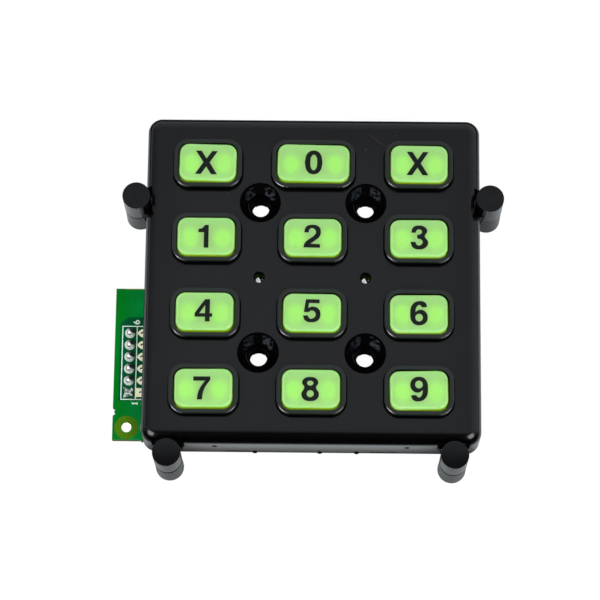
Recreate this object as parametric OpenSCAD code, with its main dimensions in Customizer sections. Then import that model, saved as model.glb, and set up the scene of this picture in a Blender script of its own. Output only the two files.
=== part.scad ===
// Illuminated intercom keypad: twelve translucent keys in a black moulded front, with its contact
// mat, circuit board and rear cover. The face lies at z = 0 and looks up, and the origin is the
// centre of the four fixing recesses. Keys read upright with +Y away from the viewer.

/* [Front moulding] */
// Width of the front moulding
plate_w = 69.7; // [68.5:0.1:76]
// Height of the front moulding
plate_h = 69.8; // [68.5:0.1:76]
// Depth from the face to the rear rim
plate_d = 9.2; // [9:0.1:11]
// Plan radius of the outer corners
corner_r = 3; // [2.7:0.1:4]
// Radius of the rolled front edge
edge_roll = 2.4; // [1.6:0.05:2.6]
// Thickness of the face
face_t = 2.2; // [1.8:0.1:2.4]
// Thickness of the side walls
wall_t = 2; // [1.6:0.1:2.2]

/* [Key caps] */
// Distance between key columns
pitch_x = 22; // [21:0.1:22.5]
// Distance between key rows
pitch_y = 16.1; // [15.5:0.1:16.3]
// Width of a key cap
cap_w = 11.9; // [10:0.05:12.2]
// Height of a key cap across the face
cap_h = 8.1; // [7.5:0.05:8.4]
// Extra width of the wide zero key
wide_extra = 3.1; // [0:0.1:3.4]
// Plan radius of a cap's corners
cap_r = 2; // [1.4:0.1:2.3]
// Radius of a cap's rolled rim
cap_edge_r = 0.7; // [0.3:0.05:1]
// Height of a cap above its collar
cap_proud = 0.6; // [0.3:0.05:1.2]
// Thickness of a cap's top
cap_top_t = 1.2; // [0.9:0.1:1.6]
// Thickness of a cap's side walls
cap_wall_t = 1; // [0.8:0.1:1.2]
// Travel of a key when it is pressed
key_travel = 1.2; // [0.8:0.05:1.3]
// Width of the retaining flange around a cap
flange_w = 0.8; // [0.6:0.05:0.9]
// Thickness of the retaining flange
flange_t = 1; // [0.8:0.1:1.1]
// Length of the stem below the flange
stem_l = 0.9; // [0.7:0.05:1]
// Radius of the stem
stem_r = 1.7; // [1.4:0.1:2]

/* [Collars] */
// Height of the collars above the face
collar_h = 1.8; // [1.2:0.1:2.6]
// Thickness of a collar's wall at its rim
collar_wall = 0.9; // [0.6:0.05:1]
// Lean of a collar's outer wall in degrees
collar_lean = 9; // [0:1:12]
// Gap between a cap and its collar
cap_gap = 0.28; // [0.25:0.01:0.35]
// Radius of a collar's rounded rim
collar_edge_r = 0.25; // [0.2:0.05:0.45]

/* [Fixings] */
// Radius of the four screw holes
screw_hole_r = 1.8; // [1.6:0.05:2.1]
// Radius of a fixing recess at the face
recess_r = 4.3; // [3.8:0.05:4.4]
// Depth of a recess's straight lip
lip_d = 0.7; // [0.5:0.1:1]
// Depth of a recess's wide taper, which seats a screw's head
taper_d = 1.5; // [1.3:0.1:2]
// Radius at the foot of the wide taper
seat_r = 2.5; // [2.35:0.05:2.9]
// Depth of the steep taper from there to the screw hole
throat_d = 2.2; // [1.8:0.1:2.4]
// Height of the chamfer where a screw hole leaves its spigot
hole_chamfer = 0.5; // [0.2:0.05:0.6]
// Radius of the bosses behind the recesses
boss_r = 4.1; // [3.9:0.05:4.3]
// Radius of the passages behind the bosses
passage_r = 3.7; // [3.4:0.05:4]
// Length of the spigots that pass into the board
spigot_l = 1; // [0.2:0.1:1.4]
// Radius of the holes for the status lights
light_hole_r = 1.2; // [0.8:0.05:1.3]

/* [Posts] */
// Distance of the side posts from the moulding's edge
side_post_out = 1.9; // [1.8:0.05:3]
// Place of the side posts up the face
side_post_y = 16.65; // [10:0.05:22]
// Place of the lower posts across the face
low_post_x = 29.2; // [15:0.1:29.5]
// Distance of the lower posts from the moulding's edge
low_post_out = 2.7; // [1.9:0.05:3]
// Height of the posts' tops above the face
post_top = 2.4; // [1:0.1:3]
// Radius of the moulded posts at their tops
post_r = 2.8; // [2.4:0.05:3]
// How much wider the posts are at their feet
post_draft = 0.12; // [0:0.02:0.2]
// Height of the post caps
post_cap_h = 7; // [5.5:0.1:7.6]
// How far a post cap overhangs its post all round
post_cap_lip = 0.07; // [0:0.01:0.2]
// Distance of the posts' feet behind the face
foot_d = 12.6; // [12.5:0.1:16]
// Width of the edge pockets beside the posts
pocket_w = 5.9; // [5.6:0.1:6.6]
// How far the side pockets reach into the edge
side_pocket_in = 1.25; // [0.6:0.05:1.4]
// How far the lower pockets reach into the edge
low_pocket_in = 0.45; // [0.3:0.05:1.4]
// Radius of the pegs that hold the post caps
peg_r = 1.5; // [1.2:0.1:1.8]
// Height of the pegs
peg_h = 3.2; // [2:0.1:4]

/* [Circuit board] */
// Thickness of the circuit board
board_t = 1.6; // [1:0.1:1.6]
// Reach of the connector tab beyond the moulding
tab_out = 6.2; // [5.6:0.05:9]
// Upper edge of the connector tab
tab_top = -0.7; // [-3:0.1:6]
// Distance from the lower edge of the front up to the lower edge of the tab
tab_low_in = 1.9; // [1.5:0.1:2.5]
// Radius of the hole in the tab
tab_hole_r = 1; // [0.8:0.05:1.6]
// Distance of the first terminal row from the moulding
terminal_out = 3.05; // [2.9:0.05:3.6]
// Place of the uppermost terminal
terminal_top = -10.3; // [-12:0.1:-6]
// Number of terminals in the row
terminals = 6; // [3:1:6]
// Height of the socket strip
socket_h = 3.2; // [2.5:0.1:3.3]

/* [Contact mat] */
// Thickness of the contact mat
mat_t = 0.8; // [0.6:0.1:1]
// Inner radius at the foot of a dome
dome_r = 2.6; // [2.3:0.1:2.7]
// Thickness of a dome's skirt
dome_t = 0.6; // [0.4:0.05:0.7]
// Thickness of the conductive pills
pill_t = 0.5; // [0.3:0.05:0.5]
// Distance of the key lights from a key's middle
led_x = 4.5; // [4.3:0.05:4.5]

/* [Rear cover] */
// Thickness of the cover's rim
rim_t = 0.8; // [0.8:0.1:1.4]
// Depth of the cover behind the front moulding
cover_d = 3; // [2.9:0.1:3.3]
// Thickness of the cover's floor
floor_t = 1.1; // [0.9:0.1:1.1]
// Distance of the tray's wall from the outline
tray_in = 2.75; // [2:0.25:3]
// Thickness of the tray's wall
tray_wall = 1.6; // [1.2:0.1:1.8]
// Radius of the screw pillars
pillar_r = 2.2; // [2:0.05:2.3]
// Radius of a cover screw's shank
shank_r = 0.9; // [0.7:0.05:1.1]
// Length of a cover screw's shank
shank_l = 6; // [4:0.5:6.5]
// Radius of a cover screw's head
head_r = 1.9; // [1.6:0.05:2]

/* [Hidden] */
$fn = 48;
eps = 0.01;

// Small marks on the lower wall: dimples and the gaps for prying off the cover
dimple_x = 19.7;
dimple_z = -4.2;
dimple_r = 0.4;
pry_x = 15;
pry_gap = [5.4, 0.7, 0.3];

black = [0.09, 0.09, 0.1];
key_green = [0.63, 0.94, 0.47];
board_green = [0.02, 0.46, 0.2];
tin = [0.75, 0.76, 0.78];
rubber_grey = [0.82, 0.83, 0.8];
carbon = [0.12, 0.12, 0.12];
gold = [0.8, 0.65, 0.3];
clear_lens = [0.9, 0.92, 0.88];
ceramic = [0.62, 0.5, 0.36];

// Levels, counted from the face
rear_z = -plate_d;
board_top = rear_z + board_t;
mat_top = board_top + mat_t;
flange_gap = 0.1;
flange_top = -face_t - flange_gap;
flange_low = flange_top - flange_t;
stem_low = flange_low - stem_l;
cap_top = collar_h + cap_proud;
seat_z = -lip_d - taper_d - throat_d;
spigot_low = board_top - spigot_l;
post_seam = post_top - post_cap_h;
cover_low = rear_z - cover_d;

// Sizes across the moulding
inner_r = 1;
inner_w = plate_w - 2 * wall_t;
inner_h = plate_h - 2 * wall_t;
fix_x = pitch_x / 2;
fix_y = pitch_y;
board_gap = 0.3;
board_w = inner_w - 2 * board_gap;
board_h = inner_h - 2 * board_gap;
slot_gap = 0.3;
tab_x = plate_w / 2 + tab_out;
tab_low = tab_low_in - plate_h / 2;
tab_hole_in = 2.93;
tab_hole_up = 2.56;
tab_hole_x = tab_x - tab_hole_in;
tab_hole_y = tab_low + tab_hole_up;
nick = [0.65, 1.6];
nick_up = 5.9;
nick_y = tab_low + nick_up;
terminal_x = plate_w / 2 + terminal_out;
side_post_x = plate_w / 2 + side_post_out;
low_post_y = plate_h / 2 + low_post_out;
mat_gap = 0.8;
hole_gap = 0.3;
pillar_bury = 0.1;
screw_x = inner_w / 2 - pillar_r + pillar_bury;
screw_y = inner_h / 2 - pillar_r + pillar_bury;
tray_w = plate_w - 2 * tray_in;
tray_h = plate_h - 2 * tray_in;

// Fits
spigot_gap = 0.15;
board_hole_r = passage_r - hole_gap;
neck_h = 0.3;
neck_in = 0.2;
post_gap = 0.25;
peg_gap = 0.04;
web_w = 4.6;
passage_wall = 0.9;
pilot_gap = 0.05;
head_h = 1.3;
head_gap = 0.25;
clear_gap = 0.3;

// Contacts and lights
pad_r = 1.8;
pad_t = 0.06;
pad_split = 0.4;
pill_r = 1.7;
pill_clear = 0.02;
pill_low = board_top + pad_t + key_travel + pill_clear;
plunger_r = 2;
shoulder_h = 0.9;
led = [1.2, 2, 0.35];
led_lens = [1, 1.2, 0.4];
led_window = [1.7, 2.6];
lamp_gap = 0.3;
lamp_r = 0.9;
lamp_foot_r = 1.45;
lamp_foot_h = 1;

// Small parts on the board's underside: a controller, and rows counted from the tray's wall
tray_inner = tray_w - 2 * tray_wall;
chip_l = 9.9;
chip_w = 3.9;
chip_t = 1.5;
chip_leads = 8;
resistor = [2, 1.25, 0.5];
capacitor = [2, 1.25, 0.9];
row_pitch = 2.4;
resistor_in = 8.5;
capacitor_in = 4.5;
chip_part_gap = 7;
capacitor_up = 3;

// Connector
terminal_pitch = 2.54;
pin_w = 0.64;
pin_up = 1.1;
hole_r = 0.5;
solder_r = 0.95;
solder_h = 0.8;
socket_w = 2.5;
entry_w = 0.8;
entry_d = 2;
entry_flare = 1.5;
flare_d = 0.3;

// Each key's place and how it has settled in its collar: column, row, wide, turn, shift across
// and shift up the face. Rows count from the top and columns from the left.
CANCEL_LEFT = [-1, 0, false, -1.2, 0.02, -0.03];
ZERO = [0, 0, true, -0.9, 0.02, 0.02];
CANCEL_RIGHT = [1, 0, false, -0.4, 0.04, 0];
ONE = [-1, 1, false, 0, -0.05, 0.03];
TWO = [0, 1, false, 0.2, 0, -0.02];
THREE = [1, 1, false, 0.4, -0.06, -0.08];
FOUR = [-1, 2, false, 0, -0.04, 0.05];
FIVE = [0, 2, false, -0.5, 0.03, -0.04];
SIX = [1, 2, false, 0.4, -0.08, -0.11];
SEVEN = [-1, 3, false, 0.5, 0.04, 0.03];
EIGHT = [0, 3, false, 0, -0.06, 0.04];
NINE = [1, 3, false, 1.2, -0.06, -0.04];
KEYS = [CANCEL_LEFT, ZERO, CANCEL_RIGHT, ONE, TWO, THREE, FOUR, FIVE, SIX, SEVEN, EIGHT, NINE];

function key_x(k) = k[0] * pitch_x;
function key_y(k) = (1.5 - k[1]) * pitch_y;
function key_w(k) = cap_w + (k[2] ? wide_extra : 0);

module at_keys() {
  for (k = KEYS) translate([key_x(k), key_y(k), 0]) children();
}

module at_fixings() {
  for (x = [-fix_x, fix_x], y = [-fix_y, fix_y]) translate([x, y, 0]) children();
}

module at_cover_screws() {
  for (x = [-screw_x, screw_x], y = [-screw_y, screw_y]) translate([x, y, 0]) children();
}

// Notches that clear the screw pillars at the corners
module pillar_notches() {
  for (mx = [0, 1], my = [0, 1]) mirror([mx, 0]) mirror([0, my]) translate([screw_x, screw_y]) {
    circle(pillar_r + hole_gap);
    translate([-pillar_r - hole_gap, 0]) square(3 * pillar_r);
    translate([0, -pillar_r - hole_gap]) square(3 * pillar_r);
  }
}

module at_status_lights() {
  for (x = [-fix_x, fix_x]) translate([x, 0, 0]) children();
}

module at_terminals() {
  for (i = [0 : terminals - 1]) translate([-terminal_x, terminal_top - i * terminal_pitch, 0]) children();
}

// Post places, with local -Y pointing away from the moulding
module at_left_post() translate([-side_post_x, side_post_y, 0]) rotate(-90) children();
module at_right_post() translate([side_post_x, side_post_y, 0]) rotate(90) children();
module at_low_left_post() translate([-low_post_x, -low_post_y, 0]) children();
module at_low_right_post() translate([low_post_x, -low_post_y, 0]) children();

module at_posts() {
  at_left_post() children();
  at_right_post() children();
  at_low_left_post() children();
  at_low_right_post() children();
}

module rounded_rect(w, h, r) {
  square([w - 2 * r, h], center = true);
  square([w, h - 2 * r], center = true);
  for (x = [r - w / 2, w / 2 - r], y = [r - h / 2, h / 2 - r]) translate([x, y]) circle(r);
}

// Flat slab with rounded corners, from z = 0 up
module slab(w, h, r, t) {
  linear_extrude(t) rounded_rect(w, h, r);
}

// Half section of a block whose top edge is rolled over. Its side runs down from the roll's end,
// leaning outwards by the given angle.
module rolled_section(half, t, roll, lean) {
  shoulder = t - roll + roll * sin(lean);
  side = half - roll + roll * cos(lean);
  polygon([[0, 0], [side + shoulder * tan(lean), 0], [side, shoulder], [0, shoulder]]);
  square([half - roll, t]);
  translate([half - roll, t - roll]) intersection() {
    circle(roll);
    square(roll);
  }
}

module rolled_strip(l, half, t, roll, lean) {
  translate([-l / 2, 0, 0]) rotate([90, 0, 90]) linear_extrude(l) {
    rolled_section(half, t, roll, lean);
    mirror([1, 0]) rolled_section(half, t, roll, lean);
  }
}

// Block with rounded corners and a rolled top edge, from z = 0 up
module rolled_block(w, h, r, t, roll, lean = 0) {
  rolled_strip(w - 2 * r, h / 2, t, roll, lean);
  rotate(90) rolled_strip(h - 2 * r, w / 2, t, roll, lean);
  for (a = [0 : 3]) {
    half_w = a % 2 == 0 ? w / 2 : h / 2;
    half_h = a % 2 == 0 ? h / 2 : w / 2;
    rotate(90 * a) translate([half_w - r, half_h - r, 0]) rotate_extrude(angle = 90)
      rolled_section(r, t, roll, lean);
  }
}

module collar(w) {
  grow = 2 * (cap_gap + collar_wall);
  overlap = face_t / 2;
  r = cap_r + cap_gap + collar_wall;
  translate([0, 0, -overlap])
    rolled_block(w + grow, cap_h + grow, r, collar_h + overlap, collar_edge_r, collar_lean);
}

module collar_bore(w) {
  grow = 2 * cap_gap;
  translate([0, 0, -face_t - eps])
    slab(w + grow, cap_h + grow, cap_r + cap_gap, face_t + collar_h + 2 * eps);
}

module fixing_recess() {
  rotate_extrude() polygon([
    [0, eps], [recess_r, eps], [recess_r, -lip_d], [seat_r, -lip_d - taper_d],
    [screw_hole_r, seat_z], [screw_hole_r, spigot_low + hole_chamfer],
    [screw_hole_r + hole_chamfer, spigot_low], [screw_hole_r + hole_chamfer, spigot_low - eps],
    [0, spigot_low - eps],
  ]);
}

// Moulded post: it widens to its foot, and its neck and peg meet the cap
module post() {
  neck_z = post_seam - neck_h;
  translate([0, 0, -foot_d]) cylinder(h = foot_d + neck_z, r1 = post_r + post_draft, r2 = post_r);
  translate([0, 0, neck_z - eps]) cylinder(h = neck_h + eps, r = post_r - neck_in);
  translate([0, 0, post_seam - eps]) cylinder(h = peg_h + eps, r = peg_r);
}

module post_web(reach) {
  translate([-web_w / 2, 0, rear_z]) cube([web_w, reach, post_seam - neck_h - rear_z]);
}

// Pocket in the moulding's edge above a post, cut clear of the peg
module edge_pocket(reach) {
  difference() {
    translate([-pocket_w / 2, -2 * post_r, post_seam]) cube([pocket_w, 2 * post_r + reach, post_cap_h]);
    translate([0, 0, rear_z]) cylinder(h = post_top - rear_z, r = peg_r);
  }
}

module front_moulding() {
  bury = wall_t / 2;
  color(black) difference() {
    union() {
      difference() {
        translate([0, 0, rear_z]) rolled_block(plate_w, plate_h, corner_r, plate_d, edge_roll);
        translate([0, 0, rear_z - eps]) slab(inner_w, inner_h, inner_r, plate_d - face_t + eps);
      }
      for (k = KEYS) translate([key_x(k), key_y(k), 0]) collar(key_w(k));
      at_fixings() {
        translate([0, 0, board_top]) cylinder(h = -board_top - face_t / 2, r = boss_r);
        translate([0, 0, spigot_low]) cylinder(h = spigot_l + eps, r = board_hole_r - spigot_gap);
      }
      at_cover_screws() translate([0, 0, rear_z]) cylinder(h = plate_d - face_t / 2, r = pillar_r);
      at_posts() post();
      at_left_post() post_web(side_post_out + bury);
      at_right_post() post_web(side_post_out + bury);
      at_low_left_post() post_web(low_post_out + bury);
      at_low_right_post() post_web(low_post_out + bury);
    }
    for (k = KEYS) translate([key_x(k), key_y(k), 0]) collar_bore(key_w(k));
    at_fixings() fixing_recess();
    at_status_lights() translate([0, 0, -face_t - eps]) cylinder(h = face_t + 2 * eps, r = light_hole_r);
    at_cover_screws() translate([0, 0, rear_z - eps])
      cylinder(h = shank_l - head_seat_up() + clear_gap, r = shank_r + pilot_gap);
    // Slot that the board's tab passes through
    translate([-plate_w / 2 - eps, tab_low - slot_gap, rear_z - eps])
      cube([wall_t + 2 * board_gap + eps, tab_top - tab_low + 2 * slot_gap, board_t + eps]);
    at_left_post() edge_pocket(side_post_out + side_pocket_in);
    at_right_post() edge_pocket(side_post_out + side_pocket_in);
    at_low_left_post() edge_pocket(low_post_out + low_pocket_in);
    at_low_right_post() edge_pocket(low_post_out + low_pocket_in);
    for (side = [-1, 1]) {
      translate([side * dimple_x, -plate_h / 2, dimple_z]) sphere(dimple_r);
      translate([side * pry_x - pry_gap[0] / 2, -plate_h / 2 - eps, rear_z - eps]) cube(pry_gap);
    }
  }
}

// Height of a cover screw's seat above the cover's low face
function head_seat_up() = cover_d - head_h - head_gap;

module key_cap(k) {
  w = key_w(k);
  flange = 2 * (cap_gap + flange_w);
  body_h = cap_top - flange_top;
  well_w = w - 2 * cap_wall_t;
  well_h = cap_h - 2 * cap_wall_t;
  well_top = cap_top - cap_top_t;
  color(key_green) translate([key_x(k) + k[4], key_y(k) + k[5], 0]) rotate(k[3]) difference() {
    union() {
      translate([0, 0, flange_top - eps]) rolled_block(w, cap_h, cap_r, body_h + eps, cap_edge_r);
      translate([0, 0, flange_low]) slab(w + flange, cap_h + flange, cap_r + cap_gap, flange_t);
      translate([0, 0, stem_low]) cylinder(h = flange_low - stem_low + eps, r = stem_r);
    }
    // Light well round the stem
    difference() {
      translate([0, 0, flange_low - eps]) slab(well_w, well_h, cap_r - cap_wall_t / 2, well_top - flange_low + eps);
      translate([0, 0, stem_low]) cylinder(h = cap_top - stem_low, r = stem_r);
    }
  }
}

module key_1() key_cap(ONE);
module key_2() key_cap(TWO);
module key_3() key_cap(THREE);
module key_4() key_cap(FOUR);
module key_5() key_cap(FIVE);
module key_6() key_cap(SIX);
module key_7() key_cap(SEVEN);
module key_8() key_cap(EIGHT);
module key_9() key_cap(NINE);
module key_0() key_cap(ZERO);
module key_cancel_left() key_cap(CANCEL_LEFT);
module key_cancel_right() key_cap(CANCEL_RIGHT);

module post_cap() {
  color(black) translate([0, 0, post_seam]) difference() {
    cylinder(h = post_cap_h, r = post_r + post_cap_lip);
    translate([0, 0, -eps]) cylinder(h = peg_h + clear_gap + eps, r = peg_r + peg_gap);
  }
}

module post_cap_left() at_left_post() post_cap();
module post_cap_right() at_right_post() post_cap();
module post_cap_lower_left() at_low_left_post() post_cap();
module post_cap_lower_right() at_low_right_post() post_cap();

// Section of a rubber dome and its plunger, with the axis at x = 0
module dome_section() {
  shoulder = stem_low - shoulder_h;
  pill_top = pill_low + pill_t;
  polygon([
    [0, pill_top], [plunger_r, pill_top], [plunger_r, shoulder - dome_t],
    [dome_r, mat_top], [dome_r, board_top], [dome_r + dome_t, board_top],
    [dome_r + dome_t, mat_top], [plunger_r, shoulder], [plunger_r, stem_low], [0, stem_low],
  ]);
}

module contact_mat() {
  w = inner_w - 2 * mat_gap;
  h = inner_h - 2 * mat_gap;
  color(rubber_grey) union() {
    difference() {
      translate([0, 0, board_top]) slab(w, h, inner_r, mat_t);
      translate([0, 0, board_top - eps]) linear_extrude(mat_t + 2 * eps) {
        at_keys() circle(dome_r + dome_t / 2);
        at_keys() for (x = [-led_x, led_x]) translate([x, 0]) square(led_window, center = true);
        at_fixings() circle(boss_r + mat_gap);
        pillar_notches();
        at_status_lights() circle(lamp_foot_r + hole_gap);
      }
    }
    at_keys() rotate_extrude() dome_section();
  }
}

module pill(k) {
  color(carbon) translate([key_x(k), key_y(k), pill_low]) cylinder(h = pill_t, r = pill_r);
}

module pill_1() pill(ONE);
module pill_2() pill(TWO);
module pill_3() pill(THREE);
module pill_4() pill(FOUR);
module pill_5() pill(FIVE);
module pill_6() pill(SIX);
module pill_7() pill(SEVEN);
module pill_8() pill(EIGHT);
module pill_9() pill(NINE);
module pill_0() pill(ZERO);
module pill_cancel_left() pill(CANCEL_LEFT);
module pill_cancel_right() pill(CANCEL_RIGHT);

module contact_pads() {
  color(gold) at_keys() translate([0, 0, board_top]) linear_extrude(pad_t) difference() {
    circle(pad_r);
    square([pad_split, 3 * pad_r], center = true);
  }
}

module board_outline() {
  difference() {
    union() {
      difference() {
        rounded_rect(board_w, board_h, inner_r);
        pillar_notches();
      }
      translate([-tab_x, tab_low]) square([tab_x - board_w / 2 + eps, tab_top - tab_low]);
    }
    translate([-tab_x, nick_y]) square([2 * nick[0], nick[1]], center = true);
    at_fixings() circle(board_hole_r);
    translate([-tab_hole_x, tab_hole_y]) circle(tab_hole_r);
    at_terminals() circle(hole_r);
    at_terminals() translate([terminal_pitch, 0]) circle(hole_r);
  }
}

module circuit_board() {
  color(board_green) translate([0, 0, rear_z]) linear_extrude(board_t) board_outline();
}

module key_lights() {
  color(clear_lens) at_keys() for (x = [-led_x, led_x]) translate([x, 0, board_top]) {
    translate([-led[0] / 2, -led[1] / 2, 0]) cube(led);
    translate([-led_lens[0] / 2, -led_lens[1] / 2, led[2] - eps]) cube(led_lens + [0, 0, eps]);
  }
}

module status_lights() {
  top = -face_t - lamp_gap;
  color(clear_lens) at_status_lights() {
    translate([0, 0, board_top]) cylinder(h = lamp_foot_h, r = lamp_foot_r);
    translate([0, 0, board_top]) cylinder(h = top - lamp_r - board_top, r = lamp_r);
    translate([0, 0, top - lamp_r]) sphere(lamp_r);
  }
}

module socket_strip() {
  l = terminals * terminal_pitch;
  mid = terminal_top - (terminals - 1) * terminal_pitch / 2;
  low = rear_z - socket_h;
  color(black) difference() {
    translate([-terminal_x - socket_w / 2, mid - l / 2, low]) cube([socket_w, l, socket_h]);
    at_terminals() {
      translate([-entry_w / 2, -entry_w / 2, low - eps]) cube([entry_w, entry_w, entry_d + eps]);
      translate([-entry_flare / 2, -entry_flare / 2, low - eps]) cube([entry_flare, entry_flare, flare_d + eps]);
      translate([-pin_w / 2, -pin_w / 2, low + entry_d - eps]) cube([pin_w, pin_w, socket_h]);
    }
  }
}

module socket_terminals() {
  low = rear_z - socket_h + entry_d;
  color(tin) at_terminals()
    translate([-pin_w / 2, -pin_w / 2, low]) cube([pin_w, pin_w, board_top + pin_up - low]);
}

module solder_section() {
  polygon([
    [0, rear_z], [hole_r, rear_z], [hole_r, board_top], [solder_r, board_top],
    [solder_r * 0.75, board_top + solder_h * 0.3], [solder_r * 0.5, board_top + solder_h], [0, board_top + solder_h],
  ]);
}

module terminal_solder() {
  color(tin) at_terminals() difference() {
    rotate_extrude() solder_section();
    translate([-pin_w / 2, -pin_w / 2, rear_z - eps]) cube([pin_w, pin_w, board_t + 2 * solder_h]);
  }
}

// Small-outline package with bent leads, hanging below z = 0
module chip(l, w, t, leads) {
  lead_pitch = 1.27;
  lead_w = 0.42;
  lead_t = 0.2;
  reach = 0.4;
  foot_l = 0.65;
  body_gap = 0.1;
  first = -(leads - 1) * lead_pitch / 2;
  translate([-l / 2, -w / 2, -t]) cube([l, w, t - body_gap]);
  for (i = [0 : leads - 1], side = [-1, 1]) translate([first + i * lead_pitch, side * w / 2, 0]) {
    rotate(side > 0 ? 0 : 180) {
      translate([-lead_w / 2, reach, -lead_t]) cube([lead_w, foot_l, lead_t]);
      translate([-lead_w / 2, reach, -t / 2]) cube([lead_w, lead_t, t / 2]);
      translate([-lead_w / 2, -lead_t, -t / 2]) cube([lead_w, reach + lead_t, lead_t]);
    }
  }
}

module controller_chip() {
  color(black) translate([0, 0, rear_z]) chip(chip_l, chip_w, chip_t, chip_leads);
}

// Row of small parts along Y, with its middle at the given place
module chip_row(count, x, y, pitch, size) {
  for (i = [0 : count - 1])
    translate([x - size[0] / 2, y + (i - (count - 1) / 2) * pitch - size[1] / 2, rear_z - size[2]]) cube(size);
}

module chip_resistors() {
  color(carbon) {
    chip_row(6, -tray_inner / 2 + resistor_in, 0, row_pitch, resistor);
    chip_row(2, chip_l / 2 + chip_part_gap, 0, row_pitch, resistor);
  }
}

module chip_capacitors() {
  color(ceramic) {
    chip_row(1, 0, chip_w / 2 + capacitor_up, row_pitch, capacitor);
    chip_row(2, -tray_inner / 2 + capacitor_in, 0, 2 * row_pitch, capacitor);
  }
}

module rear_cover() {
  floor_z = cover_low + floor_t;
  color(black) difference() {
    union() {
      difference() {
        union() {
          translate([0, 0, rear_z - rim_t]) slab(plate_w, plate_h, corner_r, rim_t);
          translate([0, 0, cover_low]) slab(tray_w, tray_h, corner_r, cover_d - rim_t / 2);
        }
        translate([0, 0, floor_z]) slab(tray_w - 2 * tray_wall, tray_h - 2 * tray_wall, inner_r, cover_d);
      }
      at_fixings() translate([0, 0, cover_low]) cylinder(h = cover_d, r = passage_r + passage_wall);
      at_cover_screws() translate([0, 0, cover_low]) cylinder(h = cover_d, r = head_r + head_gap + passage_wall);
    }
    at_fixings() translate([0, 0, cover_low - eps]) cylinder(h = cover_d + 2 * eps, r = passage_r);
    at_cover_screws() {
      translate([0, 0, cover_low - eps]) cylinder(h = head_h + head_gap + eps, r = head_r + head_gap);
      translate([0, 0, cover_low]) cylinder(h = cover_d + eps, r = shank_r + head_gap);
    }
    at_posts() translate([0, 0, cover_low - eps])
      cylinder(h = cover_d + 2 * eps, r = post_r + post_draft + post_gap);
  }
}

module cover_screws() {
  seat = cover_low + head_h + head_gap;
  color(tin) at_cover_screws() {
    translate([0, 0, seat - head_h]) cylinder(h = head_h, r = head_r);
    translate([0, 0, seat - eps]) cylinder(h = shank_l + eps, r = shank_r);
  }
}

front_moulding();
key_1();
key_2();
key_3();
key_4();
key_5();
key_6();
key_7();
key_8();
key_9();
key_0();
key_cancel_left();
key_cancel_right();
post_cap_left();
post_cap_right();
post_cap_lower_left();
post_cap_lower_right();
contact_mat();
pill_1();
pill_2();
pill_3();
pill_4();
pill_5();
pill_6();
pill_7();
pill_8();
pill_9();
pill_0();
pill_cancel_left();
pill_cancel_right();
contact_pads();
circuit_board();
key_lights();
status_lights();
socket_strip();
socket_terminals();
terminal_solder();
controller_chip();
chip_resistors();
chip_capacitors();
rear_cover();
cover_screws();
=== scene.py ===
"""Looks of the intercom keypad: satin black moulding, translucent green keys with printed
legends, the green board's tab with its solder joints, and a pale studio round them.
Lengths are in metres unless a name says mm."""

import math

import bpy
from mathutils import Euler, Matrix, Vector


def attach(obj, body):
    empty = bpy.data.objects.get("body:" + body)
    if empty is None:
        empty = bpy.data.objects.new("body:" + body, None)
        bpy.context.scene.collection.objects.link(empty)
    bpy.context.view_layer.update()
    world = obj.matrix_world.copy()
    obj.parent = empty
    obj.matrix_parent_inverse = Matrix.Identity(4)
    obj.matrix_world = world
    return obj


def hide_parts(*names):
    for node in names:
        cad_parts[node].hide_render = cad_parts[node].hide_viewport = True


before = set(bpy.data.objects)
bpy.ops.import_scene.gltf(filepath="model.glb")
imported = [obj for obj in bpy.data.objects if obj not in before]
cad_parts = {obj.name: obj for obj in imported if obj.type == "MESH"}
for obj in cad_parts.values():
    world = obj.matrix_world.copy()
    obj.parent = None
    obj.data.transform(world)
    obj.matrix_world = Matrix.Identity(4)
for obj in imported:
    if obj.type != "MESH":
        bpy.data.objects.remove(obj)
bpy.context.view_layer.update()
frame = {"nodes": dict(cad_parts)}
nodes = frame["nodes"]

MM = 0.001
BLACK = (0.0, 0.0, 0.0)

# Keys and their collars, in mm. Key 0 is wider than the others by WIDE_EXTRA.
PITCH_X = 22.0
PITCH_Y = 16.1
CAP_W = 11.9
CAP_H = 8.1
WIDE_EXTRA = 3.1
CAP_R = 2.0
CAP_TOP = 2.4
COLLAR_TOP = 1.8

# Moulded front: side edges, lower wall, radii of its holes, and posts, in mm
PLATE_X = 34.85
WALL_Y = -34.9
RECESS_R = 4.3
BORE_R = 1.8
LIGHT_HOLE_R = 1.2
SIDE_POST_X = 36.75
LOW_POST_X = 29.2
LOW_POST_Y = -37.6
POST_TOP = 2.4
POST_SEAM = -4.6
FLOOR_Z = -12.6

# Marks on the front, in mm: the middle of the scratch on its face, and on its lower wall the
# dimples to the left and right (x and z) and the slits, whose shadows are painted on it
SCRATCH = (13.5, 29.8)
DIMPLE = (19.7, -4.2)
SLIT_X = 15.0

# Board and tab, in mm. TERMINAL_TOP is the sixth terminal, and the first is TERMINAL_LAST.
BOARD_TOP = -7.6
BOARD_LOW = -9.2
BOARD_MIDDLE = (BOARD_TOP + BOARD_LOW) / 2
TAB_X = -41.05
TAB_TOP = -0.7
TAB_LOW = -33.0
TAB_HOLE = (-38.12, -30.44)
TAB_HOLE_R = 1.0
TAB_RING_R = 2.5
BARE_TOP = -7.1
BARE_LOW = -25.0
PATCH_R = 4.0
STATUS_LENS_LOW = -3.9
TERMINALS = 6
TERMINAL_X = -37.9
TERMINAL_TOP = -10.3
TERMINAL_PITCH = 2.54
TERMINAL_LAST = TERMINAL_TOP - (TERMINALS - 1) * TERMINAL_PITCH
SOLDER_R = 1.07
SPARE_X = TERMINAL_X + TERMINAL_PITCH
SPARE_HOLE_R = 0.5

# Prints, in mm: how thick they are, how far their middle lies above the surface, and how much
# higher on its cap each legend sits than its row below says
LEGEND_THICK = 0.03
PRINT_THICK = 0.02
PRINT_LIFT = 0.012
LEGEND_UP = 0.056

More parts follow.
